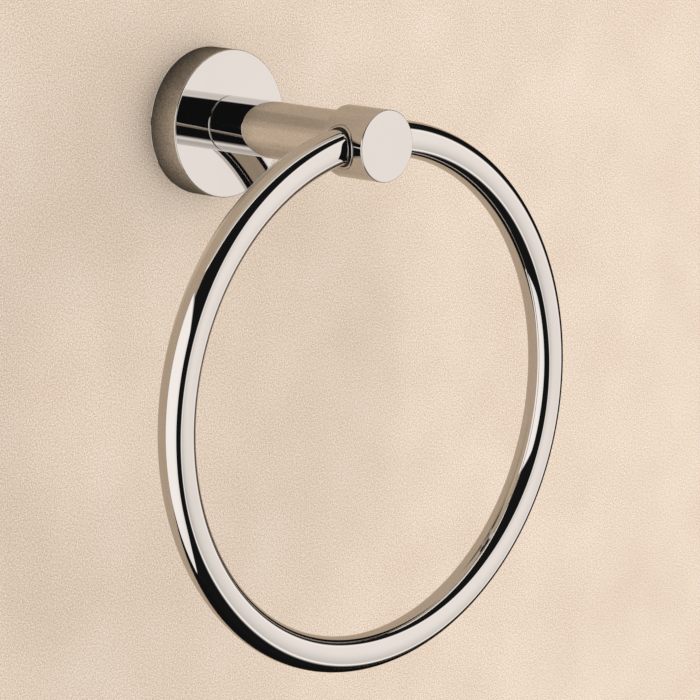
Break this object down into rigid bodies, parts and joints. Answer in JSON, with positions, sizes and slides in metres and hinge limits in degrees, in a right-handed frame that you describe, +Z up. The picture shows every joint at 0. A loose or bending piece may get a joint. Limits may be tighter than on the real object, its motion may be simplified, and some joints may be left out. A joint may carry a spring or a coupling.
{
  "type": "towel ring",
  "caption": "Wall-mounted towel ring: a round rose, a straight post with a cross-bored head, and a polished tube hoop that hangs and swings in the head.",
  "frame": {"origin": "centre of the round rose, on the surface of the wall, midway between the wall screws", "axes": "+Y into the wall and -Y out into the room, +Z up, X along the wall and along the axis that the ring swings about"},
  "size_m": [0.184, 0.1144, 0.202],
  "materials": {
    "chrome_plate": "mirror-polished chrome plating",
    "bracket_metal": "dull zinc plating",
    "screw_steel": "bright stainless steel",
    "nylon": "black nylon"
  },
  "bodies": {
    "holder": {"flange_cover": "chrome_plate", "wall_bracket": "bracket_metal", "wall_screw_left": "screw_steel", "wall_screw_right": "screw_steel", "grub_screw": "screw_steel", "post": "chrome_plate", "post_screw": "screw_steel", "lock_washer": "screw_steel", "bush_left": "nylon", "bush_right": "nylon"},
    "ring": {"towel_ring": "chrome_plate", "end_pin_left": "chrome_plate", "end_pin_right": "chrome_plate"}
  },
  "joints": [
    {"name": "ring_swing", "type": "hinge", "parent": "holder", "child": "ring", "pos_m": [0, -0.0751, 0], "axis": [-1, 0, 0], "range_deg": [-23.5, 203.5]}
  ]
}
